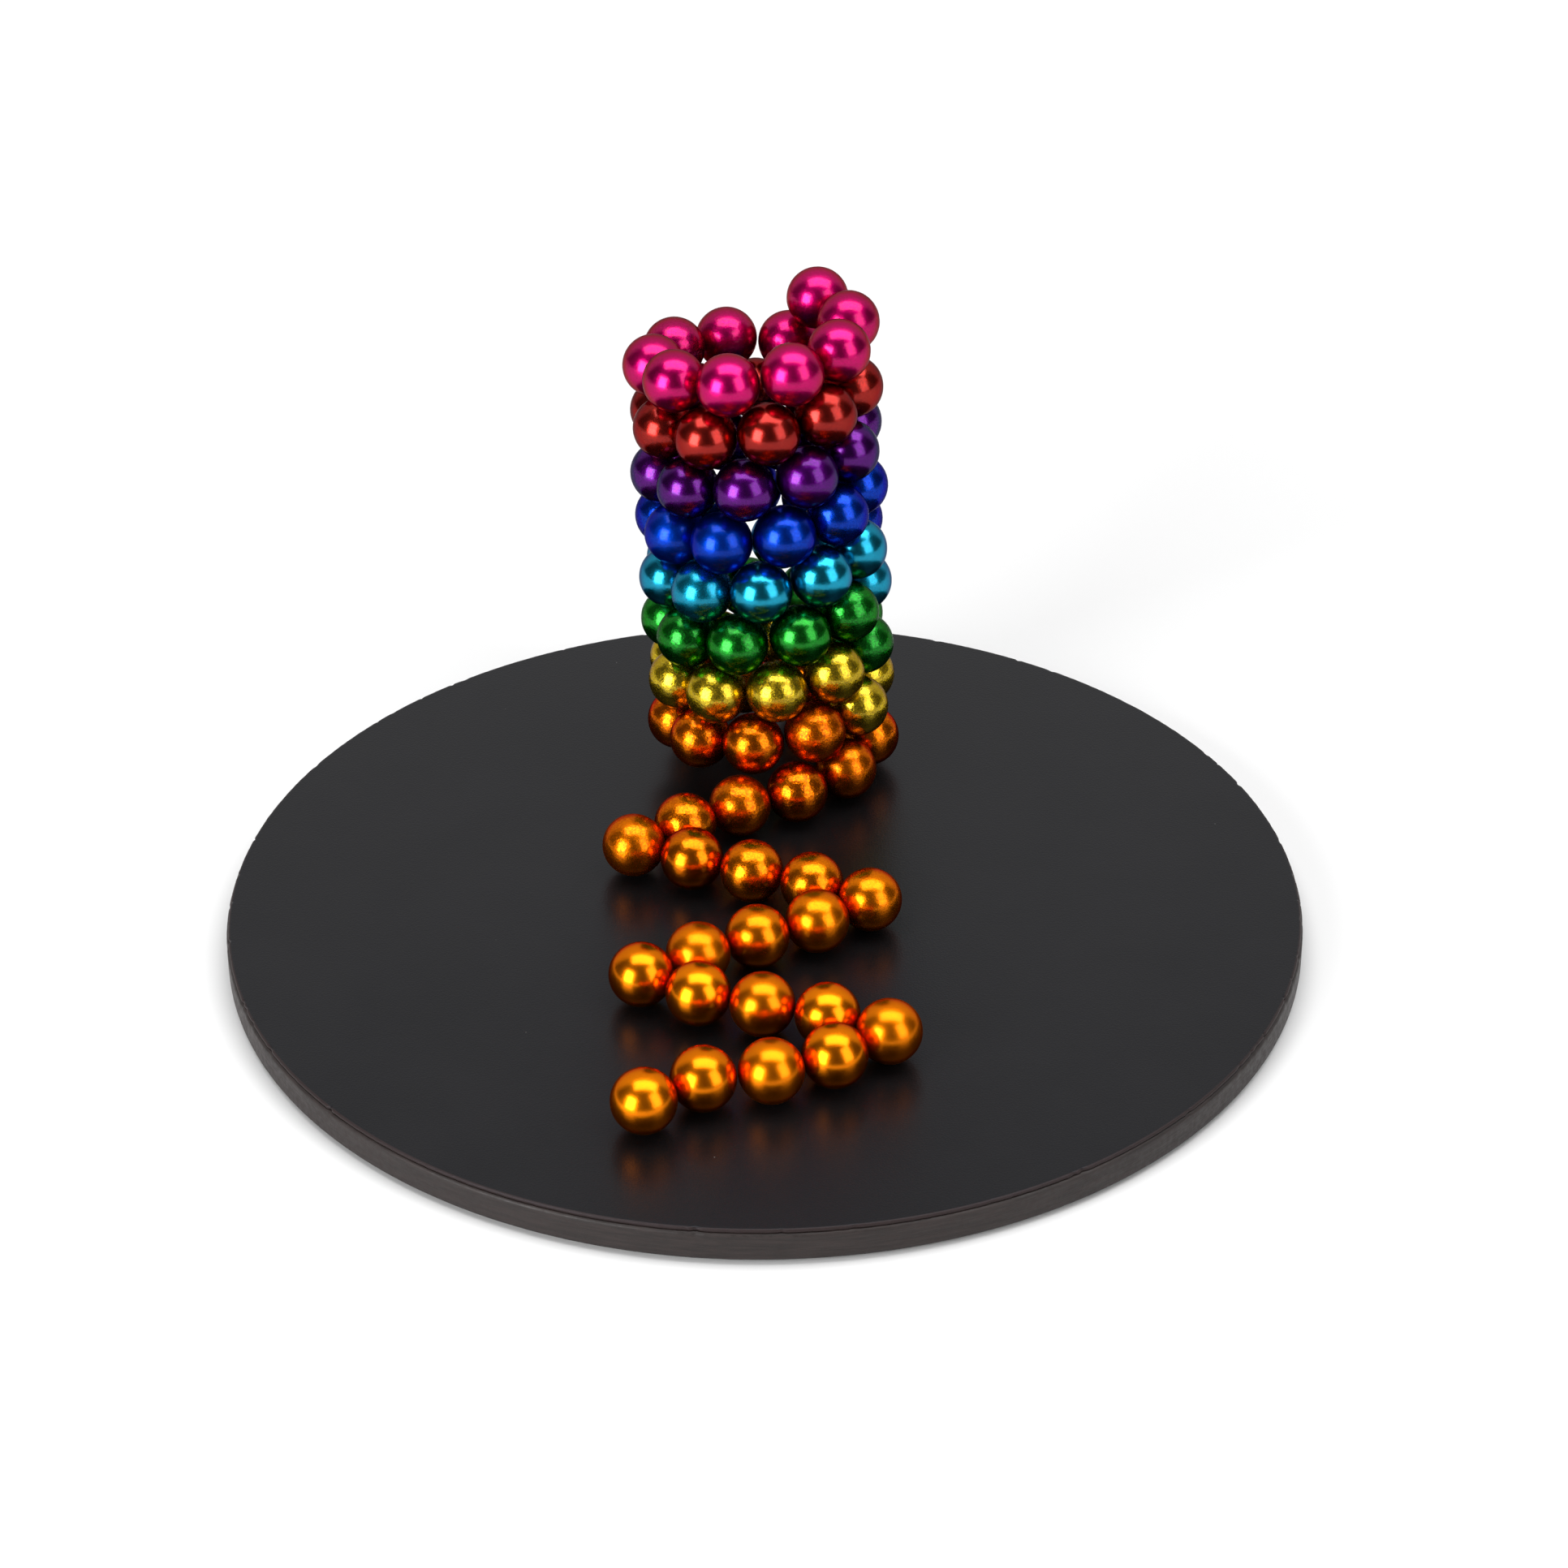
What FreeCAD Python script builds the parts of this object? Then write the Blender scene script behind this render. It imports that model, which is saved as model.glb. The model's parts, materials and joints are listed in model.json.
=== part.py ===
import FreeCAD, Part
import Sketcher
import os
from math import cos, radians, sin, sqrt

# Magnetic desk sculpture, in millimetres.
# One chain of a hundred magnet balls stands on a round steel base plate. From its
# free tip at the front of the plate the chain lies in five zigzag runs, and at the
# back it winds up into a round tower of eight coils, one colour to a coil.
# The origin is the centre of the plate's underside, +Z is up and -Y is the front.

Vector = FreeCAD.Vector
doc = FreeCAD.newDocument("MagneticDeskSculpture")

# ---- driving sizes -------------------------------------------------------------

drivingSizes = (
    ("ballDiameter", 5.0, "every magnet ball"),
    ("linkGap", 0.08, "clearance between neighbours in the chain"),
    ("rowGap", 0.12, "clearance between a coil and the coil under it"),
    ("seatGap", 0.05, "clearance between a lying ball and the plate"),
    ("coilSeatGap", 0.25, "clearance between the lowest coil ball and the plate"),
    ("footGap", 0.33, "clearance between the foot ball and the first lying ball"),
    ("ballsPerTurn", 9.58, "balls in one turn of the tower"),
    ("footAzimuth", -41.5, "direction of the foot ball from the tower axis, degrees"),
    ("towerOffset", 0.8, "tower axis at plate level, right of the plate's middle"),
    ("towerInset", 22.5, "tower axis at plate level, in from the plate's back edge"),
    ("leanBack", 5.5, "lean of the tower towards the back, degrees"),
    ("leanLeft", 2.6, "lean of the tower towards the left, degrees"),
    ("plateRadius", 42.5, "steel core of the base plate"),
    ("coreThickness", 2.35, "steel core"),
    ("coreEdgeRound", 0.25, "rounding of the steel core's two rims"),
    ("coverThickness", 0.35, "grained cover on top of the core"),
    ("coverInset", 0.15, "cover's edge, in from the core's edge"),
    ("coverEdgeRound", 0.15, "rounding of the cover's upper edge"),
    ("footPadThickness", 0.4, "non-slip pad under the core"),
    ("footPadInset", 1.2, "pad's edge, in from the core's edge"),
    ("footPadChamfer", 0.15, "chamfer of the pad's lower edge"),
)

# Heading of every link of the five runs, in degrees from +X, from the foot ball outwards.
runHeadings = (
    (221, 204, 211, 217),
    (-23, -21, -21, -27),
    (215, 204, 207, 212),
    (-30, -17, -16, -25),
    (216, 202, 190, 212),
)

sheet = doc.addObject("Spreadsheet::Sheet", "Sizes")


def writeRow(row, alias, value, note):
    sheet.set(f"A{row}", alias)
    sheet.set(f"B{row}", str(value))
    sheet.setAlias(f"B{row}", alias)
    sheet.set(f"C{row}", note)


def headingAlias(run, link):
    return f"headingRun{run + 1}Link{link + 1}"


nextRow = 1
for alias, value, note in drivingSizes:
    writeRow(nextRow, alias, value, note)
    nextRow += 1
for run, headings in enumerate(runHeadings):
    for link, heading in enumerate(headings):
        writeRow(nextRow, headingAlias(run, link), heading, "heading of a link, degrees")
        nextRow += 1
doc.recompute()


def size(alias):
    return float(sheet.get(alias))


# ---- base plate: three discs stacked face to face ------------------------------

def discEdge(disc, height):
    # the round edge of a padded disc that lies at this height of its own body
    for number, edge in enumerate(disc.Shape.Edges, 1):
        box = edge.BoundBox
        if box.ZLength < 1e-6 and abs(box.ZMin - height) < 1e-6:
            return f"Edge{number}"


def addDisc(label, radius, thickness, bottom):
    # a body with one round sketch and its pad; bottom is an expression for its height
    body = doc.addObject("PartDesign::Body", label)
    body.Label = label
    plane = next(f for f in body.Origin.OriginFeatures if f.Role == "XY_Plane")
    sketch = body.newObject("Sketcher::SketchObject", label + "_outline")
    sketch.AttachmentSupport = (plane, "")
    sketch.MapMode = "FlatFace"
    circle = Part.Circle(Vector(0, 0, 0), Vector(0, 0, 1), size("plateRadius"))
    sketch.addGeometry(circle, False)
    sketch.addConstraint(Sketcher.Constraint("Coincident", 0, 3, -1, 1))
    sketch.addConstraint(Sketcher.Constraint("Radius", 0, size("plateRadius")))
    sketch.setExpression("Constraints[1]", radius)
    pad = body.newObject("PartDesign::Pad", label + "_pad")
    pad.Profile = sketch
    pad.setExpression("Length", thickness)
    body.setExpression("Placement.Base.z", bottom)
    doc.recompute()
    return body, pad


def roundDisc(body, pad, kind, heights, field, amount):
    # rounds or chamfers the disc's rims at the given heights
    dressing = body.newObject(kind, body.Label + "_rims")
    dressing.Base = (pad, [discEdge(pad, height) for height in heights])
    dressing.setExpression(field, amount)
    body.Tip = dressing
    doc.recompute()


footPad, footPadPad = addDisc(
    "base_foot_pad", "Sizes.plateRadius - Sizes.footPadInset", "Sizes.footPadThickness", "0 mm")
roundDisc(footPad, footPadPad, "PartDesign::Chamfer", [0.0], "Size", "Sizes.footPadChamfer")

core, corePad = addDisc(
    "base_steel_core", "Sizes.plateRadius", "Sizes.coreThickness", "Sizes.footPadThickness")
roundDisc(core, corePad, "PartDesign::Fillet", [0.0, size("coreThickness")],
          "Radius", "Sizes.coreEdgeRound")

cover, coverPad = addDisc(
    "base_top_cover", "Sizes.plateRadius - Sizes.coverInset", "Sizes.coverThickness",
    "Sizes.footPadThickness + Sizes.coreThickness")
roundDisc(cover, coverPad, "PartDesign::Fillet", [size("coverThickness")],
          "Radius", "Sizes.coverEdgeRound")

plateTop = size("footPadThickness") + size("coreThickness") + size("coverThickness")

# ---- the line of the chain -----------------------------------------------------

ballDiameter = size("ballDiameter")
linkLength = ballDiameter + size("linkGap")
turnStep = 360.0 / size("ballsPerTurn")


def riseOver(places):
    # rise per ball at which a ball just clears the one that many places further down
    chord = (sin(radians(places * turnStep / 2)) / sin(radians(turnStep / 2))) ** 2
    reach = ballDiameter + size("rowGap")
    riseSquared = (reach ** 2 - chord * linkLength ** 2) / (places ** 2 - chord)
    return sqrt(max(riseSquared, 0.0))


ballsInRow = int(size("ballsPerTurn"))
coilRise = max(riseOver(places) for places in range(ballsInRow - 1, ballsInRow + 3))
coilRadius = sqrt(linkLength ** 2 - coilRise ** 2) / (2 * sin(radians(turnStep / 2)))
leanTurn = FreeCAD.Rotation(Vector(0, 1, 0), -size("leanLeft")).multiply(
    FreeCAD.Rotation(Vector(1, 0, 0), -size("leanBack")))


def coilPoint(place):
    # place counts the links up the tower from the foot ball
    azimuth = radians(size("footAzimuth") + place * turnStep)
    upright = Vector(coilRadius * cos(azimuth), coilRadius * sin(azimuth), place * coilRise)
    return leanTurn.multVec(upright)


coilColours = ("orange", "yellow", "green", "teal", "blue", "violet", "red", "magenta")
ballsPerColour = 10
topPlace = len(coilColours) * ballsPerColour - 1
lowestCoilPoint = min(coilPoint(place).z for place in range(1, topPlace + 1))
towerBase = Vector(
    size("towerOffset"),
    size("plateRadius") - size("towerInset"),
    plateTop + size("coilSeatGap") + ballDiameter / 2 - lowestCoilPoint)


def towerPoint(place):
    return towerBase + coilPoint(place)


def tailPoints():
    # the foot ball under the tower's first coil, then every lying ball out to the tip
    foot = towerPoint(0)
    foot.z = plateTop + size("seatGap") + ballDiameter / 2
    points = [foot]
    for run, headings in enumerate(runHeadings):
        for link in range(len(headings)):
            heading = radians(size(headingAlias(run, link)))
            gap = "footGap" if len(points) == 1 else "linkGap"
            length = ballDiameter + size(gap)
            points.append(points[-1] + Vector(length * cos(heading), length * sin(heading), 0))
    return points


# ---- the balls -----------------------------------------------------------------

def addBall(label, centre):
    ball = doc.addObject("Part::Sphere", label)
    ball.Label = label
    ball.setExpression("Radius", "Sizes.ballDiameter / 2")
    ball.Placement = FreeCAD.Placement(centre, FreeCAD.Rotation())
    return ball


def addBallGroup(label, centres):
    # neighbouring balls of one coil in one sub-part, each a solid of its own
    group = doc.addObject("Part::Compound", label)
    group.Label = label
    group.Links = [addBall(f"{label}_ball_{number}", centre)
                   for number, centre in enumerate(centres, 1)]
    group.Placement = FreeCAD.Placement()
    return group


subParts = [footPad, core, cover]

lyingPoints = tailPoints()
for count, centre in enumerate(lyingPoints):
    subParts.append(addBall(f"tail_ball_{len(lyingPoints) - count:02d}", centre))

# how many neighbouring balls share a sub-part, from the bottom of a coil upwards
ballCounts = {"orange": (5, 4), "magenta": (1,) * ballsPerColour}
usualBallCounts = (3, 2, 3, 2)

place = 1       # the foot ball, place 0, lies with the tail and is orange as well
for colour in coilColours:
    for number, balls in enumerate(ballCounts.get(colour, usualBallCounts), 1):
        centres = [towerPoint(place + step) for step in range(balls)]
        place += balls
        if colour == "magenta":
            subParts.append(addBall(f"magenta_ball_{ballsPerColour + 1 - number:02d}", centres[0]))
        else:
            subParts.append(addBallGroup(f"{colour}_coil_{number}", centres))

# ---- check and write -----------------------------------------------------------

doc.recompute()
for item in doc.Objects:
    if "Invalid" in item.State or "Error" in item.State:
        raise RuntimeError(f"{item.Label} did not compute")
for part in subParts:
    if part.Shape.isNull() or not part.Shape.isValid():
        raise RuntimeError(f"{part.Label} has no valid shape")

os.makedirs("parts", exist_ok=True)
for part in subParts:
    part.Shape.exportStep(f"parts/{part.Label}.step")
print(len(subParts), "sub-parts written; tower top at",
      round(towerPoint(topPlace).z + ballDiameter / 2, 2), "mm")
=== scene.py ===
import json
import math
import random

import bmesh
import bpy
import numpy as np
from mathutils import Matrix, Vector, noise


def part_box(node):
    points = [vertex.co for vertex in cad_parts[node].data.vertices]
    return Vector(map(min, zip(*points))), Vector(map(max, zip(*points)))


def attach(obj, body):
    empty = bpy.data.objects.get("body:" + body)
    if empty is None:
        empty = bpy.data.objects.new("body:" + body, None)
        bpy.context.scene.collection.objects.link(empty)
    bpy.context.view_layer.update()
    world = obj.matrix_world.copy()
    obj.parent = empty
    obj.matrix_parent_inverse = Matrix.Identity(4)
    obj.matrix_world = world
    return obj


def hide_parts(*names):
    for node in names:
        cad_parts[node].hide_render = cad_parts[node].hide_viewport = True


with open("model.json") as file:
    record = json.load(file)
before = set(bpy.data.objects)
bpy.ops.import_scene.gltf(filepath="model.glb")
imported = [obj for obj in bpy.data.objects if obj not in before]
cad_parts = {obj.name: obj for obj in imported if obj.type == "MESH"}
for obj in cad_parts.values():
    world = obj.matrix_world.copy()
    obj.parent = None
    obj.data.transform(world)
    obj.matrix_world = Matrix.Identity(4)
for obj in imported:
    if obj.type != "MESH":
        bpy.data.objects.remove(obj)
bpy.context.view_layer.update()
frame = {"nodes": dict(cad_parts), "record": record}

mm = 0.001                           # the scene is in metres
scene = bpy.context.scene
scene.view_settings.view_transform = "Standard"


cameraSetup = {
    "place": (1.93 * mm, -280.2 * mm, 192.6 * mm),
    "pitchDown": 32.57,              # degrees below level
    "turnRight": -0.07,              # degrees
    "roll": -0.37,                   # degrees
    "lens": 97.9,                    # mm
    "sensor": 36.0,                  # mm
    "nearest": 0.01,                 # metres, where the view begins
    "farthest": 20,                  # metres, where it ends
}


def addCamera(setup):
    pitch = math.radians(setup["pitchDown"])
    turn = math.radians(setup["turnRight"])
    roll = math.radians(setup["roll"])
    forward = Vector((math.sin(turn) * math.cos(pitch), math.cos(turn) * math.cos(pitch),
                      -math.sin(pitch)))
    right = Vector((math.cos(turn), -math.sin(turn), 0))
    up = right.cross(forward)
    across = right * math.cos(roll) + up * math.sin(roll)
    upward = up * math.cos(roll) - right * math.sin(roll)
    data = bpy.data.cameras.new("deskCamera")
    data.lens = setup["lens"]
    data.sensor_width = setup["sensor"]
    data.clip_start = setup["nearest"]
    data.clip_end = setup["farthest"]
    camera = bpy.data.objects.new("deskCamera", data)
    turned = Matrix((across, upward, -forward)).transposed().to_4x4()
    camera.matrix_world = Matrix.Translation(setup["place"]) @ turned
    scene.collection.objects.link(camera)
    scene.camera = camera


addCamera(cameraSetup)


# short helpers that lay the nodes of a material or a group

def newGroup(name, inputs, outputs):
    group = bpy.data.node_groups.new(name, "ShaderNodeTree")
    for socketName, start in inputs:
        socket = group.interface.new_socket(
            name=socketName, in_out="INPUT", socket_type="NodeSocketFloat")
        socket.default_value = start
    for socketName in outputs:
        group.interface.new_socket(
            name=socketName, in_out="OUTPUT", socket_type="NodeSocketFloat")
    return group, group.nodes.new("NodeGroupInput"), group.nodes.new("NodeGroupOutput")


def newMaterial(name):
    material = bpy.data.materials.new(name)
    material.use_nodes = True
    tree = material.node_tree
    return material, tree, tree.nodes["Principled BSDF"]


def feed(tree, socket, value):
    # a socket takes a link, or a plain value
    if isinstance(value, bpy.types.NodeSocket):
        tree.links.new(value, socket)
    else:
        socket.default_value = value


def calc(tree, operation, first, second=0.0, clamp=False):
    node = tree.nodes.new("ShaderNodeMath")
    node.operation = operation
    node.use_clamp = clamp
    feed(tree, node.inputs[0], first)
    feed(tree, node.inputs[1], second)
    return node.outputs[0]


def spread(tree, value, fromLow, fromHigh, toLow=0.0, toHigh=1.0):
    # maps one range of values on another, smoothly and held at both ends
    node = tree.nodes.new("ShaderNodeMapRange")
    node.interpolation_type = "SMOOTHSTEP"
    feed(tree, node.inputs["Value"], value)
    feed(tree, node.inputs["From Min"], fromLow)
    feed(tree, node.inputs["From Max"], fromHigh)
    feed(tree, node.inputs["To Min"], toLow)
    feed(tree, node.inputs["To Max"], toHigh)
    return node.outputs["Result"]


def opaque(colour):
    return (*colour, 1.0)


def blendColours(tree, share, first, second):
    node = tree.nodes.new("ShaderNodeMix")
    node.data_type = "RGBA"
    feed(tree, node.inputs["Factor"], share)
    feed(tree, node.inputs["A"], first)
    feed(tree, node.inputs["B"], second)
    return node.outputs["Result"]


def placeOnObject(tree):
    return tree.nodes.new("ShaderNodeTexCoord").outputs["Object"]


def splitPlace(tree, where):
    # the X, Y and Z of a place
    node = tree.nodes.new("ShaderNodeSeparateXYZ")
    tree.links.new(where, node.inputs[0])
    return node.outputs


noiseBulk = (0.3, 0.7)               # most values of a noise lie between these


def noiseAt(tree, where, scale, detail=2.0, rough=0.5, distortion=0.0):
    node = tree.nodes.new("ShaderNodeTexNoise")
    feed(tree, node.inputs["Vector"], where)
    feed(tree, node.inputs["Scale"], scale)
    node.inputs["Detail"].default_value = detail
    node.inputs["Roughness"].default_value = rough
    node.inputs["Distortion"].default_value = distortion
    return node.outputs["Fac"]


def cellsAt(tree, where, scale, softness=0.0):
    # a pattern of cells, with soft borders where softness is above 0
    node = tree.nodes.new("ShaderNodeTexVoronoi")
    if softness > 0:
        node.feature = "SMOOTH_F1"
        node.inputs["Smoothness"].default_value = softness
    feed(tree, node.inputs["Vector"], where)
    feed(tree, node.inputs["Scale"], scale)
    return node.outputs


def cellMarks(tree, cells):
    # two random values that each cell has for itself
    node = tree.nodes.new("ShaderNodeSeparateColor")
    tree.links.new(cells["Color"], node.inputs[0])
    return node.outputs[0], node.outputs[1]


def attributeValue(tree, name):
    node = tree.nodes.new("ShaderNodeAttribute")
    node.attribute_name = name
    return node.outputs["Fac"]


def useGroup(tree, group, values):
    node = tree.nodes.new("ShaderNodeGroup")
    node.node_tree = group
    for name, value in values.items():
        feed(tree, node.inputs[name], value)
    return node.outputs


def addBump(tree, shader, height, distance):
    bump = tree.nodes.new("ShaderNodeBump")
    bump.inputs["Strength"].default_value = 1.0
    bump.inputs["Distance"].default_value = distance
    tree.links.new(height, bump.inputs["Height"])
    tree.links.new(bump.outputs["Normal"], shader.inputs["Normal"])


crystalPattern = {
    "softness": 0.35,                # of the borders between crystals
    "facets": 2.3,                   # small facets across one crystal
    "facetHeight": 0.35,             # how high they stand beside the crystals
    "ripples": 0.45,                 # long ripples across one crystal
    "rippleHeight": 1.1,
    "cloudSize": 1.7 * mm,
}


def buildCrystalSkin(pattern):
    # the fine crystalline skin of lacquer on plated metal, with a shade for facets and clouds
    group, given, made = newGroup(
        "crystalSkin", [("Grain", 1.0), ("Cell Size", 0.3)], ["Height", "Facet", "Cloud"])
    where = placeOnObject(group)
    density = calc(group, "DIVIDE", 1 / mm, given.outputs["Cell Size"])
    crystals = cellsAt(group, where, density, pattern["softness"])
    facets = cellsAt(group, where, calc(group, "MULTIPLY", density, pattern["facets"]))
    ripple = noiseAt(group, where, calc(group, "MULTIPLY", density, pattern["ripples"]),
                     detail=3.0, rough=0.55, distortion=0.3)
    height = calc(group, "ADD", crystals["Distance"],
                  calc(group, "MULTIPLY", facets["Distance"], pattern["facetHeight"]))
    height = calc(group, "ADD", height,
                  calc(group, "MULTIPLY", ripple, pattern["rippleHeight"]))
    height = calc(group, "MULTIPLY", height, given.outputs["Grain"])
    group.links.new(height, made.inputs["Height"])
    group.links.new(cellMarks(group, facets)[0], made.inputs["Facet"])
    group.links.new(noiseAt(group, where, 1 / pattern["cloudSize"]), made.inputs["Cloud"])
    return group


dustPattern = {
    "core": 0.5,                     # share of a speck's width that is fully pale
    "missing": 0.72,                 # share of the places where no speck lies
}


def buildDustFall(pattern):
    # sparse pale specks, as dust and tiny chips leave on a dark surface
    group, given, made = newGroup(
        "dustFall", [("Spacing", 3.0), ("Speck Size", 0.05)], ["Specks"])
    spacing = given.outputs["Spacing"]
    cells = cellsAt(group, placeOnObject(group), calc(group, "DIVIDE", 1 / mm, spacing))
    reach = calc(group, "DIVIDE", given.outputs["Speck Size"], spacing)
    pale = spread(group, cells["Distance"], calc(group, "MULTIPLY", reach, pattern["core"]),
                  reach, 1.0, 0.0)
    there = calc(group, "GREATER_THAN", cellMarks(group, cells)[1], pattern["missing"])
    group.links.new(calc(group, "MULTIPLY", pale, there), made.inputs["Specks"])
    return group


crystalSkin = buildCrystalSkin(crystalPattern)
dustFall = buildDustFall(dustPattern)


lacquerLook = {
    "tints": {                       # the lacquer on a bright facet, and where it is deepest
        "orange": ((0.94, 0.238, 0.0014), (0.28, 0.024, 0.0005)),
        "yellow": ((0.66, 0.500, 0.022), (0.38, 0.225, 0.004)),
        "green": ((0.010, 0.275, 0.018), (0.002, 0.072, 0.006)),
        "teal": ((0.003, 0.350, 0.510), (0.002, 0.115, 0.225)),
        "blue": ((0.0002, 0.048, 0.460), (0.0002, 0.004, 0.145)),
        "violet": ((0.122, 0.001, 0.205), (0.012, 0.0002, 0.044)),
        "red": ((0.38, 0.018, 0.011), (0.085, 0.0010, 0.0015)),
        "magenta": ((0.62, 0.0006, 0.142), (0.19, 0.0002, 0.036)),
    },
    "coat": {                        # weight of the clear top coat
        "orange": 0.03, "yellow": 0.15, "green": 0.13, "teal": 0.16,
        "blue": 0.09, "violet": 0.17, "red": 0.13, "magenta": 0.14,
    },
    "rough": {                       # roughness of the lacquered metal
        "orange": 0.19, "yellow": 0.18, "green": 0.21, "teal": 0.20,
        "blue": 0.23, "violet": 0.22, "red": 0.21, "magenta": 0.24,
    },
    "cellSize": 0.27,                # width of a crystal, mm
    "bumpHeight": 0.0135 * mm,
    "facetShade": 0.5,               # how much a facet deepens the colour
    "cloudShade": 0.2,               # how much a cloud does
    "toneAndShadeDepth": 0.3,                # how much deeper the deepest ball is than the palest: half random tone, half painted shade on balls farther back and lower
    "edgeShade": 0.02,               # grey in the colour that the metal takes at a grazing angle
    "edgeGlow": 0.22,                # the ball's own tint in that colour
    "coatRough": 0.14,               # roughness of the clear top coat
    "coatIor": 1.8,                  # how strongly the top coat mirrors
    "facetRange": (0.1, 0.9),        # facets below and above it are fully bright and fully dull
    "facetRough": 0.10,              # roughness that a dull facet has on top
    "satinRough": 0.16,              # the same for a satin ball
}


def lacquerMaterial(colour, look):
    tint, deep = look["tints"][colour]
    material, tree, shader = newMaterial(colour + "Lacquer")
    grain = attributeValue(tree, "ballGrain")
    toneAndShade = attributeValue(tree, "ballToneAndShade")
    skin = useGroup(tree, crystalSkin, {"Grain": grain, "Cell Size": look["cellSize"]})
    shade = calc(tree, "MULTIPLY", skin["Facet"],
                 calc(tree, "MULTIPLY", grain, look["facetShade"]))
    shade = calc(tree, "ADD", shade, calc(tree, "MULTIPLY", skin["Cloud"], look["cloudShade"]))
    # the ball's tone carries a painted shade as well as a random tone
    shade = calc(tree, "ADD", shade, calc(tree, "MULTIPLY", toneAndShade, look["toneAndShadeDepth"]), clamp=True)
    tree.links.new(blendColours(tree, shade, opaque(tint), opaque(deep)),
                   shader.inputs["Base Color"])
    shader.inputs["Metallic"].default_value = 1.0
    brightest = max(tint)
    edge = [look["edgeShade"] + look["edgeGlow"] * part / brightest for part in tint]
    shader.inputs["Specular Tint"].default_value = opaque(edge)
    rough = look["rough"][colour]
    dull = spread(tree, calc(tree, "MULTIPLY", skin["Facet"], grain), *look["facetRange"],
                  rough, rough + look["facetRough"])
    satin = calc(tree, "MULTIPLY", attributeValue(tree, "ballSatin"), look["satinRough"])
    tree.links.new(calc(tree, "ADD", dull, satin), shader.inputs["Roughness"])
    shader.inputs["Coat Weight"].default_value = look["coat"][colour]
    shader.inputs["Coat Roughness"].default_value = look["coatRough"]
    shader.inputs["Coat IOR"].default_value = look["coatIor"]
    addBump(tree, shader, skin["Height"], look["bumpHeight"])
    return material


lacquers = {colour: lacquerMaterial(colour, lacquerLook) for colour in lacquerLook["tints"]}
print("lacquers:", ", ".join(lacquers))


ballBuild = {
    "subdivisions": 5,
    "seamGap": 0.0005 * mm,          # corners of a solid's faces this close are one
    "dentDepth": 0.010 * mm,         # shallow hammered hollows, all inward
    "dentSpacing": 0.75 * mm,
    "smoothDents": 0.4,              # share of their depth that a ball without grain has
    "peelDepth": 0.0035 * mm,        # the fine waves of the lacquer
    "peelSpacing": 0.32 * mm,
    "peelShift": (7.3, 1.9, 4.1),    # keeps the waves from following the hollows
    # how coarse the crystalline skin is, by colour, from 0 for smooth
    "grain": {
        "orange": 0.95, "yellow": 1.0, "green": 0.9, "teal": 0.45,
        "blue": 0.75, "violet": 0.75, "red": 0.6, "magenta": 0.7,
    },
    "grainSpread": (0.7, 1.15),      # how far it differs from ball to ball
    # how satin the dullest ball of a colour is
    "satin": {
        "orange": 0.4, "yellow": 0.15, "green": 0.5, "teal": 0.5,
        "blue": 0.8, "violet": 0.5, "red": 0.15, "magenta": 0.4,
    },
    # the balls handled most, towards the front and the top, are rubbed to a satin; the same reach
    # also sets a painted shade, deeper on the balls farther back and lower
    "rubbedWay": (-0.84, 0.54),      # that way, along Y and along Z
    "rubbedFrom": 15 * mm,           # balls farther that way are rubbed all over
    "rubbedOver": 20 * mm,           # the rubbing fades over this length before it
    "rubbedGrain": 0.12,             # share of the grain that it leaves
    "rubbedSatin": 0.35,             # satin that it adds
}


def ballsInNode(name, seamGap):
    # centre and radius of every ball of a CAD node, found from its separate shells
    bm = bmesh.new()
    bm.from_mesh(frame["nodes"][name].data)
    bmesh.ops.remove_doubles(bm, verts=bm.verts, dist=seamGap)
    bm.verts.ensure_lookup_table()
    seen = set()
    balls = []
    for start in bm.verts:
        if start.index in seen:
            continue
        seen.add(start.index)
        stack = [start]
        low = start.co.copy()
        high = start.co.copy()
        while stack:
            vert = stack.pop()
            for axis in range(3):
                low[axis] = min(low[axis], vert.co[axis])
                high[axis] = max(high[axis], vert.co[axis])
            for edge in vert.link_edges:
                other = edge.other_vert(vert)
                if other.index not in seen:
                    seen.add(other.index)
                    stack.append(other)
        balls.append(((low + high) / 2, min(high - low) / 2))
    bm.free()
    return balls


def unitBall(subdivisions):
    bm = bmesh.new()
    bmesh.ops.create_icosphere(bm, subdivisions=subdivisions, radius=1.0)
    points = np.array([v.co for v in bm.verts])
    faces = [[v.index for v in face.verts] for face in bm.faces]
    bm.free()
    return points / np.linalg.norm(points, axis=1)[:, None], faces


ballPoints, ballFaces = unitBall(ballBuild["subdivisions"])


def noiseShare(spot):
    # smooth noise between 0 and 1
    return 0.5 + 0.5 * noise.noise(spot)


def dentedRadii(centre, radius, grain, build):
    # radius at every point of one ball: shallow hollows and the waves of the lacquer
    radii = np.empty(len(ballPoints))
    smooth = build["smoothDents"]
    depth = smooth + (1 - smooth) * min(1.0, grain)
    shift = Vector(build["peelShift"])
    for index, way in enumerate(ballPoints):
        spot = centre + Vector(way) * radius
        hollow = depth * noiseShare(spot / build["dentSpacing"])
        peel = noiseShare(spot / build["peelSpacing"] + shift)
        sunk = build["dentDepth"] * hollow ** 2 + build["peelDepth"] * grain * peel
        radii[index] = radius - sunk
    return radii


nodeBodies = {node: body for body, nodes in frame["record"]["behaviour"]["bodies"].items()
              for node in nodes}


def addPiece(name, mesh, node):
    # a finished piece rides on its node's body and stands for that node
    piece = bpy.data.objects.new(name, mesh)
    scene.collection.objects.link(piece)
    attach(piece, nodeBodies[node])
    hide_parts(node)


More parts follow.
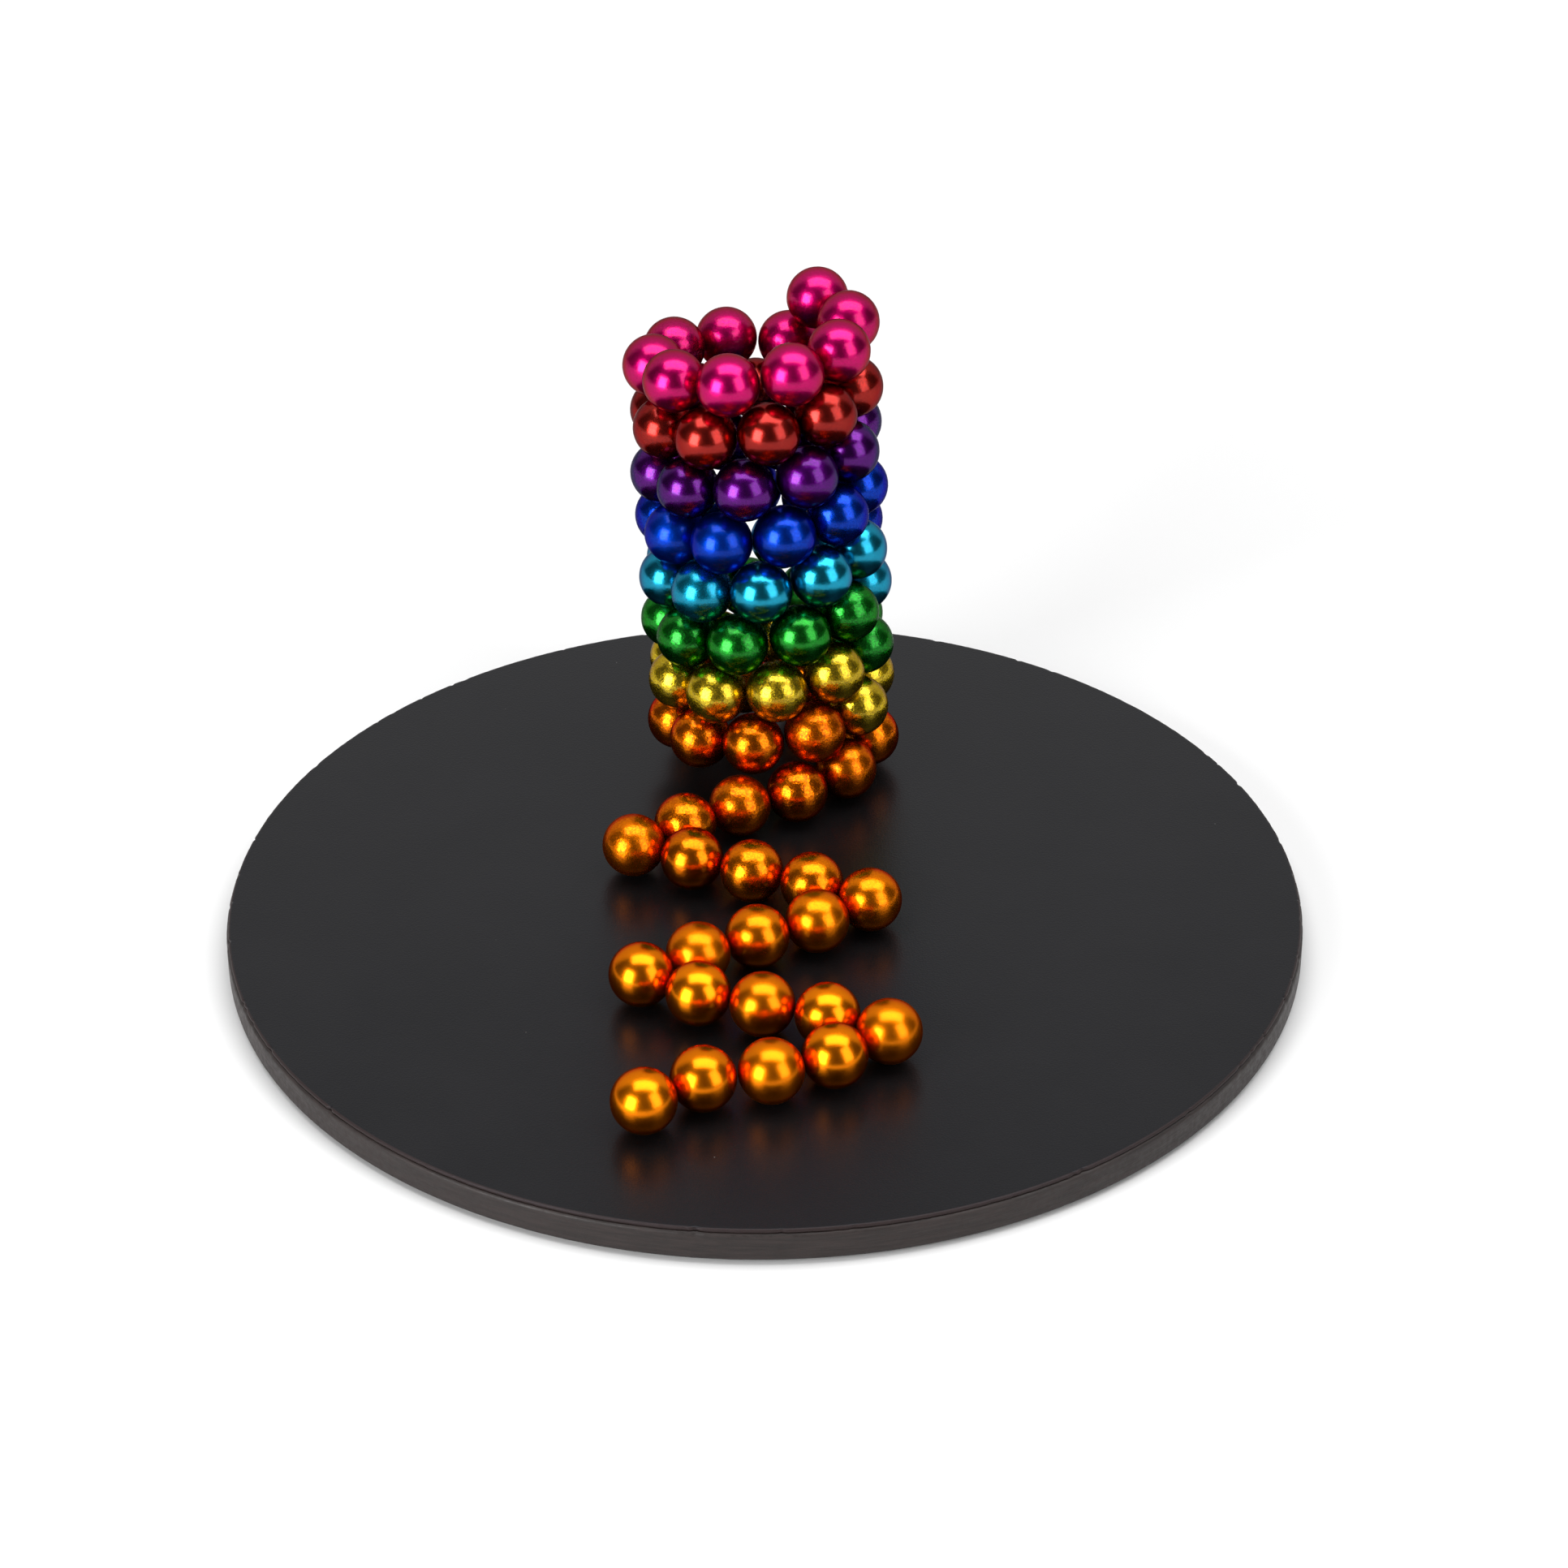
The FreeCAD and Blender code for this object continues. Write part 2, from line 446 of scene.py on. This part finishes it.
def addBalls(node, colour, build):
    # all the balls of a node in one mesh, each dented in its own way
    rng = random.Random(node)
    alongY, alongZ = build["rubbedWay"]
    points, faces = [], []
    marks = {"ballGrain": [], "ballToneAndShade": [], "ballSatin": []}
    for centre, radius in ballsInNode(node, build["seamGap"]):
        reach = alongY * centre.y + alongZ * centre.z
        freshAndShaded = min(1.0, max(0.0, (build["rubbedFrom"] - reach) / build["rubbedOver"]))
        left = build["rubbedGrain"] + (1 - build["rubbedGrain"]) * freshAndShaded
        grain = build["grain"][colour] * left * rng.uniform(*build["grainSpread"])
        satin = build["rubbedSatin"] * (1 - freshAndShaded) + build["satin"][colour] * rng.random() ** 2
        axis = Vector([rng.uniform(-1, 1) for _ in range(3)]).normalized()
        spin = np.array(Matrix.Rotation(rng.uniform(0, math.tau), 3, axis))
        shell = ballPoints * dentedRadii(centre, radius, grain, build)[:, None]
        first = len(points)
        points.extend(map(tuple, shell @ spin.T + np.array(centre)))
        faces.extend([index + first for index in face] for face in ballFaces)
        # half random tone, half painted shade: balls farther back and lower, towards the tower's
        # foot, come out deeper
        toneAndShade = (rng.random() + freshAndShaded) / 2
        for label, value in zip(marks, (grain, toneAndShade, satin)):
            marks[label].extend([value] * len(shell))
    mesh = bpy.data.meshes.new(node + "_ball")
    mesh.from_pydata(points, [], faces)
    for label, values in marks.items():
        attribute = mesh.attributes.new(label, "FLOAT", "POINT")
        attribute.data.foreach_set("value", np.array(values, np.float32))
    mesh.polygons.foreach_set("use_smooth", [True] * len(mesh.polygons))
    mesh.materials.append(lacquers[colour])
    addPiece(node + "_dressed", mesh, node)


ballNodes = [node for node in frame["nodes"] if "ball" in node or "coil" in node]
for node in ballNodes:
    colour = "orange" if node.startswith("tail") else node.split("_")[0]
    addBalls(node, colour, ballBuild)
print("balls:", len(ballNodes), "nodes dressed")


def turnedDisc(name, profile, segments, shape):
    # a disc turned about +Z from (radius, height) points, the first and last on the axis
    points, faces = [(0, 0, profile[0][1])], []
    rings = profile[1:-1]
    for radius, height in rings:
        for step in range(segments):
            angle = math.tau * step / segments
            r, z = shape(angle, radius, height)
            points.append((r * math.cos(angle), r * math.sin(angle), z))
    points.append((0, 0, profile[-1][1]))
    last = len(points) - 1
    for step in range(segments):
        after = (step + 1) % segments
        faces.append((0, 1 + after, 1 + step))
        for ring in range(len(rings) - 1):
            low = 1 + ring * segments
            high = low + segments
            faces.append((low + step, low + after, high + after, high + step))
        top = 1 + (len(rings) - 1) * segments
        faces.append((top + step, top + after, last))
    mesh = bpy.data.meshes.new(name)
    mesh.from_pydata(points, [], faces)
    mesh.polygons.foreach_set("use_smooth", [True] * len(mesh.polygons))
    return mesh


cornerSteps = 5                      # in the rounding of each of the plate's edges


def roundedProfile(radius, low, high, edge, flats, bands):
    # half section of a disc with rounded edges, with rings across its faces and its band
    points = [(0, low)]
    points += [(radius * share, low) for share in flats]
    turns = [math.pi / 2 * step / cornerSteps for step in range(cornerSteps + 1)]
    points += [(radius - edge + edge * math.sin(turn), low + edge - edge * math.cos(turn))
               for turn in turns]
    points += [(radius, low + edge + (high - low - 2 * edge) * (step + 1) / (bands + 1))
               for step in range(bands)]
    points += [(radius - edge + edge * math.cos(turn), high - edge + edge * math.sin(turn))
               for turn in turns]
    points += [(radius * share, high) for share in reversed(flats)]
    points.append((0, high))
    return points


def plateProfile(node, look):
    low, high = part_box(node)
    radius = (high.x - low.x) / 2
    return radius, roundedProfile(radius, low.z, high.z, look["edge"], look["flats"],
                                  look["bands"])


plateWear = {
    "chips": 46,
    "chipSeed": 17,
    "chipWidths": (0.18, 0.55),      # mm to each side
    "chipDepth": 0.14 * mm,
    "chipShares": (0.25, 1.0),       # of that depth, for the shallowest and the deepest
    "raggedness": 0.05 * mm,
    "wornFrom": 0.99,                # share of the radius where the wear begins
}


def rimChips(wear):
    rng = random.Random(wear["chipSeed"])
    return [(rng.uniform(0, math.tau), rng.uniform(*wear["chipWidths"]) * mm,
             wear["chipDepth"] * rng.uniform(*wear["chipShares"]))
            for _ in range(wear["chips"])]


chips = rimChips(plateWear)


def chipDepthAt(angle, radius):
    depth = 0.0
    for where, width, deep in chips:
        away = abs((angle - where + math.pi) % math.tau - math.pi) * radius
        if away < width:
            depth = max(depth, deep * (1 - (away / width) ** 2) ** 2)
    return depth


def rimNoise(angle, radius, spacing, level):
    # noise between 0 and 1 that closes on itself round the rim
    turn = radius / spacing
    return noiseShare(Vector((math.cos(angle) * turn, math.sin(angle) * turn, level)))


padLook = {
    "segments": 360,
    "edge": 0.12 * mm,               # rounding of its edges
    "flats": [0.04 * step for step in range(1, 25)],  # rings of the faces, shares of the radius
    "bands": 1,                      # rings round the band
    "ringHeight": 0.12 * mm,         # shallow moulded rings on the underside
    "ringSpacing": 0.08,             # share of the radius
    "ringsTo": 0.965,                # share of the radius
    "underside": 0.01 * mm,          # points lower than this belong to it
    "colour": (0.020, 0.020, 0.021),
    "pale": (0.034, 0.033, 0.034),
    "rough": (0.7, 0.9),
    "poreSize": 0.35 * mm,
    "poreSoftness": 0.5,
    "fineSize": 0.2 * mm,
    "bumpHeight": 0.03 * mm,
}


def padMaterial(look):
    material, tree, shader = newMaterial("padRubber")
    where = placeOnObject(tree)
    pores = cellsAt(tree, where, 1 / look["poreSize"], look["poreSoftness"])
    fine = noiseAt(tree, where, 1 / look["fineSize"], detail=3.0, rough=0.6)
    tree.links.new(blendColours(tree, fine, opaque(look["colour"]), opaque(look["pale"])),
                   shader.inputs["Base Color"])
    tree.links.new(spread(tree, fine, *noiseBulk, *look["rough"]), shader.inputs["Roughness"])
    addBump(tree, shader, calc(tree, "ADD", pores["Distance"], fine), look["bumpHeight"])
    return material


def buildPad(look):
    node = "base_foot_pad"
    radius, profile = plateProfile(node, look)
    base = profile[0][1]

    def shape(angle, r, z):
        if z > base + look["underside"] or r > radius * look["ringsTo"]:
            return r, z
        ring = 0.5 + 0.5 * math.cos(math.tau * r / (radius * look["ringSpacing"]))
        return r, z + look["ringHeight"] * ring

    mesh = turnedDisc(node, profile, look["segments"], shape)
    mesh.materials.append(padMaterial(look))
    addPiece("foot_pad_dressed", mesh, node)


coreLook = {
    "segments": 900,
    "edge": 0.25 * mm,
    "flats": (0.3, 0.6, 0.85, 0.95, 0.985),
    "bands": 9,
    "waveLength": 2.4 * mm,          # slow waves round the band
    "waveRise": 2.5,                 # how fast they change up the band, for each mm
    "waveWear": (0.3, 0.35),         # least wear, and what a wave adds, shares of the raggedness
    "chipReach": 0.7 * mm,           # how far down from the top the chips reach
    "colour": (0.0085, 0.0048, 0.0041),
    "pale": (0.0195, 0.0122, 0.0110),
    # colour of the painted shade at the foot of the band
    "dark": (0.006, 0.0045, 0.0042),
    "streakLength": 3.2 * mm,
    "streakSqueeze": 14,             # how many times longer than high a streak is
    "mottleSize": 0.5 * mm,
    "shadeMix": (0.7, 0.3),          # shares of streaks and mottle in the shade
    "shadeRange": (0.38, 0.66),      # shades from here to there run from colour to pale
    "paintedFootShade": (0.45 * mm, 0.75 * mm),  # heights where the painted shade at the foot of the band fades
    "paintedFootShadeDepth": 0.6,
    "rough": (0.45, 0.62),
    "gloss": 0.38,
    "bumpHeight": 0.03 * mm,
    "mottleBump": 0.6,               # share of the mottle in the bump
}


def rimMaterial(look):
    material, tree, shader = newMaterial("rimSteel")
    where = placeOnObject(tree)
    # long faint streaks that run round the band: noise squeezed across its height
    squeezed = tree.nodes.new("ShaderNodeVectorMath")
    squeezed.operation = "MULTIPLY"
    tree.links.new(where, squeezed.inputs[0])
    squeezed.inputs[1].default_value = (1, 1, look["streakSqueeze"])
    streak = noiseAt(tree, squeezed.outputs[0], 1 / look["streakLength"], detail=4.0, rough=0.65)
    mottle = noiseAt(tree, where, 1 / look["mottleSize"], detail=3.0, rough=0.6)
    streakShare, mottleShare = look["shadeMix"]
    shade = calc(tree, "ADD", calc(tree, "MULTIPLY", streak, streakShare),
                 calc(tree, "MULTIPLY", mottle, mottleShare))
    colour = blendColours(tree, spread(tree, shade, *look["shadeRange"]),
                          opaque(look["colour"]), opaque(look["pale"]))
    height = splitPlace(tree, where)["Z"]
    # painted shade: the band darkens towards its foot, where the contact shadow at the floor
    # falls
    paintedFootShade = spread(tree, height, *look["paintedFootShade"], look["paintedFootShadeDepth"], 0.0)
    tree.links.new(blendColours(tree, paintedFootShade, colour, opaque(look["dark"])),
                   shader.inputs["Base Color"])
    tree.links.new(spread(tree, mottle, *noiseBulk, *look["rough"]), shader.inputs["Roughness"])
    shader.inputs["Specular IOR Level"].default_value = look["gloss"]
    relief = calc(tree, "ADD", streak, calc(tree, "MULTIPLY", mottle, look["mottleBump"]))
    addBump(tree, shader, relief, look["bumpHeight"])
    return material


def buildCore(look, wear):
    node = "base_steel_core"
    radius, profile = plateProfile(node, look)
    top = profile[-1][1]
    least, added = look["waveWear"]

    def shape(angle, r, z):
        if r < radius * wear["wornFrom"]:
            return r, z
        wave = rimNoise(angle, radius, look["waveLength"], z / mm * look["waveRise"])
        worn = wear["raggedness"] * (least + added * wave)
        nearTop = max(0.0, 1 - (top - z) / look["chipReach"])
        return r - worn - chipDepthAt(angle, radius) * nearTop, z

    mesh = turnedDisc(node, profile, look["segments"], shape)
    mesh.materials.append(rimMaterial(look))
    addPiece("steel_core_dressed", mesh, node)


coverLook = {
    "segments": 1800,
    "edge": 0.15 * mm,
    "flats": (0.15, 0.3, 0.45, 0.6, 0.75, 0.86, 0.93, 0.965, 0.985, 0.9925),
    "bands": 2,
    "tearLength": 0.55 * mm,         # ragged steps of the cut edge
    "tearSeed": 3.7,
    "colour": (0.0022, 0.0022, 0.0024),
    "pale": (0.0048, 0.0046, 0.0050),
    "rough": (0.295, 0.325),
    "gloss": 0.21,
    "glossTint": (0.87, 0.88, 1.0),
    "cloudSize": 9 * mm,
    "fineSize": 0.12 * mm,
    "shadeMix": (0.7, 0.5),          # shares of the fine noise and of the clouds in the shade
    "shadeRange": (0.35, 0.85),      # shades from here to there run from colour to pale
    "grainSize": 0.16 * mm,
    "grainSoftness": 0.5,
    "grainHeight": 0.006 * mm,
    "fineBump": 0.5,                 # share of the fine noise in the bump
    "speckSpacing": 2.6,             # mm
    "speckSize": 0.06,               # mm
    "speckShare": 0.55,
    "speckColour": (0.22, 0.21, 0.20),
    # the black is worn off the outer edge, which is as brown as the band below; this paler edge
    # is also painted light that lifts the shaded seam at the top of the band
    "edgeWearAndLightWidth": 0.24 * mm,
    "edgeWearAndLightColour": coreLook["pale"],
    "edgeWearAndLightFull": 1 / 3,             # the outermost share of that width, pale all over
    "edgeWearAndLightPatches": (0.25, 0.5),    # fine noise from here to there takes the last of the black
    "edgeWearAndLightLeast": 0.7,              # how much of the black is gone where it doesn't
    "edgeWearAndLightRough": 0.2,
}


def coverMaterial(look, radius):
    material, tree, shader = newMaterial("coverFinish")
    where = placeOnObject(tree)
    grain = cellsAt(tree, where, 1 / look["grainSize"], look["grainSoftness"])
    cloud = noiseAt(tree, where, 1 / look["cloudSize"], detail=4.0, rough=0.6)
    fine = noiseAt(tree, where, 1 / look["fineSize"], rough=0.6)
    fineShare, cloudShare = look["shadeMix"]
    shade = calc(tree, "ADD", calc(tree, "MULTIPLY", fine, fineShare),
                 calc(tree, "MULTIPLY", cloud, cloudShare))
    colour = blendColours(tree, spread(tree, shade, *look["shadeRange"]),
                          opaque(look["colour"]), opaque(look["pale"]))
    dust = useGroup(tree, dustFall, {"Spacing": look["speckSpacing"],
                                     "Speck Size": look["speckSize"]})
    specks = calc(tree, "MULTIPLY", dust["Specks"], look["speckShare"])
    colour = blendColours(tree, specks, colour, opaque(look["speckColour"]))
    spot = splitPlace(tree, where)
    squares = [calc(tree, "MULTIPLY", spot[axis], spot[axis]) for axis in ("X", "Y")]
    reach = calc(tree, "SQRT", calc(tree, "ADD", *squares))
    # paler outer edge: partly worn black, partly painted light over the shaded seam
    edgeWearAndLight = spread(tree, reach, radius - look["edgeWearAndLightWidth"],
                    radius - look["edgeWearAndLightWidth"] * look["edgeWearAndLightFull"])
    patches = spread(tree, fine, *look["edgeWearAndLightPatches"], look["edgeWearAndLightLeast"], 1.0)
    edgeWearAndLight = calc(tree, "MULTIPLY", edgeWearAndLight, patches)
    tree.links.new(blendColours(tree, edgeWearAndLight, colour, opaque(look["edgeWearAndLightColour"])),
                   shader.inputs["Base Color"])
    rough = calc(tree, "ADD", spread(tree, cloud, *noiseBulk, *look["rough"]),
                 calc(tree, "MULTIPLY", edgeWearAndLight, look["edgeWearAndLightRough"]))
    tree.links.new(rough, shader.inputs["Roughness"])
    shader.inputs["Specular IOR Level"].default_value = look["gloss"]
    shader.inputs["Specular Tint"].default_value = opaque(look["glossTint"])
    height = calc(tree, "ADD", grain["Distance"], calc(tree, "MULTIPLY", fine, look["fineBump"]))
    addBump(tree, shader, height, look["grainHeight"])
    return material


def buildCover(look, wear):
    node = "base_top_cover"
    radius, profile = plateProfile(node, look)

    def shape(angle, r, z):
        if r < radius * wear["wornFrom"]:
            return r, z
        torn = rimNoise(angle, radius, look["tearLength"], look["tearSeed"])
        return r - wear["raggedness"] * torn - chipDepthAt(angle, radius), z

    mesh = turnedDisc(node, profile, look["segments"], shape)
    mesh.materials.append(coverMaterial(look, radius))
    addPiece("top_cover_dressed", mesh, node)


buildPad(padLook)
buildCore(coreLook, plateWear)
buildCover(coverLook, plateWear)
print("plate: pad, core and cover dressed")


lampSetup = {
    "middle": (0.0, 0.01, 0.015),    # the lamps aim at this point, metres
    # direction, distance, width and height in degrees, and brightness seen in a reflection
    "lamps": {
        "topBox": ((0.11, -0.015, 0.98), 0.80, 70, 35, 4.5),
        "leftBox": ((-0.67, -0.69, 0.28), 0.75, 30, 38, 10.5),
        "rightBox": ((0.68, -0.60, 0.45), 0.75, 31, 46, 3.1),
    },
    "overhead": 0.9,                 # a lamp that stands steeper has its width along X
}


def addLamp(name, way, distance, wide, tall, brightness, setup):
    data = bpy.data.lights.new(name, "AREA")
    data.shape = "RECTANGLE"
    data.size = 2 * distance * math.tan(math.radians(wide / 2))
    data.size_y = 2 * distance * math.tan(math.radians(tall / 2))
    data.energy = brightness * math.pi * data.size * data.size_y
    lamp = bpy.data.objects.new(name, data)
    backward = Vector(way).normalized()
    level = Vector((0, 0, 1)).cross(backward)
    if backward.z > setup["overhead"]:
        level = Vector((1, 0, 0)) - backward * backward.x
    across = level.normalized()
    turned = Matrix((across, backward.cross(across), backward)).transposed().to_4x4()
    lamp.matrix_world = Matrix.Translation(Vector(setup["middle"]) + backward * distance) @ turned
    scene.collection.objects.link(lamp)


def rayKinds(tree):
    # masks of the rays that see the studio: straight or through glass, and off polished metal
    path = tree.nodes.new("ShaderNodeLightPath")
    straight = calc(tree, "MAXIMUM", path.outputs["Is Camera Ray"],
                    path.outputs["Is Transmission Ray"])
    return straight, path.outputs["Is Glossy Ray"]


floorSetup = {
    "size": 8.0,                     # metres
    "colour": (0.65, 0.65, 0.65),
    "rough": 0.9,
    "gloss": 0.1,
    "ownWhite": 0.155,               # what the camera sees on top of the floor's own shade
    "inMetal": 0.12,                 # the same in a reflection
    "fade": (0.12, 0.5),             # metres from the middle, where it grows to full white
    "paintedContactShade": (0.0415, 0.0445),  # metres from the middle: painted contact shade, the own white is gone under the plate and grows back just outside its edge
}


def addFloor(setup):
    half = setup["size"] / 2
    mesh = bpy.data.meshes.new("studioFloor")
    mesh.from_pydata([(-half, -half, 0), (half, -half, 0), (half, half, 0), (-half, half, 0)],
                     [], [(0, 1, 2, 3)])
    floor = bpy.data.objects.new("studioFloor", mesh)
    scene.collection.objects.link(floor)
    material, tree, shader = newMaterial("floorPaper")
    shader.inputs["Base Color"].default_value = opaque(setup["colour"])
    shader.inputs["Roughness"].default_value = setup["rough"]
    shader.inputs["Specular IOR Level"].default_value = setup["gloss"]
    straight, mirrored = rayKinds(tree)
    away = tree.nodes.new("ShaderNodeVectorMath")
    away.operation = "LENGTH"
    tree.links.new(placeOnObject(tree), away.inputs[0])
    # far from the object, where the lamps fade, the paper keeps its white
    white = spread(tree, away.outputs["Value"], *setup["fade"], setup["ownWhite"], 1.0)
    # painted shadow: the floor's own white is taken away under the plate and round its edge
    outsideContactShade = spread(tree, away.outputs["Value"], *setup["paintedContactShade"])
    white = calc(tree, "MULTIPLY", white, outsideContactShade)
    shader.inputs["Emission Color"].default_value = (1, 1, 1, 1)
    glow = calc(tree, "ADD", calc(tree, "MULTIPLY", straight, white),
                calc(tree, "MULTIPLY", mirrored, setup["inMetal"]))
    tree.links.new(glow, shader.inputs["Emission Strength"])
    mesh.materials.append(material)


roomSetup = {
    "dark": 0.08,                    # the unlit room in a reflection
    "backdrop": 0.76,                # the white paper behind the object in a reflection
    "backdropLean": 0.35,            # how much the paper leans over the object
    "backdropEdge": (0.35, 0.65),    # where the room turns into the paper
    "ambient": 0.12,                 # what lights matt surfaces from all round
}


def addWorld(setup):
    world = bpy.data.worlds.new("studioRoom")
    scene.world = world
    world.use_nodes = True
    tree = world.node_tree
    background = tree.nodes["Background"]
    straight, mirrored = rayKinds(tree)
    way = splitPlace(tree, tree.nodes.new("ShaderNodeTexCoord").outputs["Generated"])
    behind = calc(tree, "ADD", way["Y"], calc(tree, "MULTIPLY", way["Z"], setup["backdropLean"]))
    room = spread(tree, behind, *setup["backdropEdge"], setup["dark"], setup["backdrop"])
    matt = calc(tree, "SUBTRACT", 1.0, calc(tree, "MAXIMUM", straight, mirrored))
    strength = calc(tree, "ADD", straight, calc(tree, "MULTIPLY", mirrored, room))
    strength = calc(tree, "ADD", strength, calc(tree, "MULTIPLY", matt, setup["ambient"]))
    background.inputs["Color"].default_value = (1, 1, 1, 1)
    tree.links.new(strength, background.inputs["Strength"])


for lampName, lampValues in lampSetup["lamps"].items():
    addLamp(lampName, *lampValues, lampSetup)
addFloor(floorSetup)
addWorld(roomSetup)
print("studio: floor, room and", len(lampSetup["lamps"]), "soft boxes")
